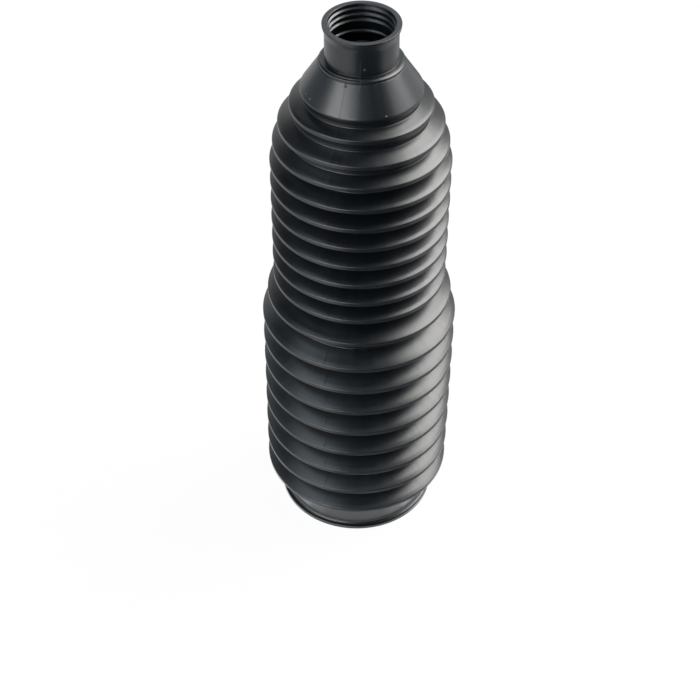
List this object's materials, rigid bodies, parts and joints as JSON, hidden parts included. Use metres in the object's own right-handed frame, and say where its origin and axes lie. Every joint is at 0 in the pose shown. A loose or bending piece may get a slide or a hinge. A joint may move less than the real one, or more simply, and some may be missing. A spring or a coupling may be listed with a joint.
{
  "type": "rubber bellows boot",
  "caption": "Long black rubber bellows boot with a wide cuff at one end, large and small folds, and a short flared neck on a cone at the other end.",
  "frame": {"origin": "centre of the base face, in the plane of the large end's mouth", "axes": "+Z along the boot's axis, from the large end to the small end"},
  "size_m": [0.07, 0.07, 0.2079],
  "materials": {
    "rubber": "satin moulded rubber"
  },
  "bodies": {
    "root": {"bellows_boot": "rubber"}
  },
  "joints": []
}
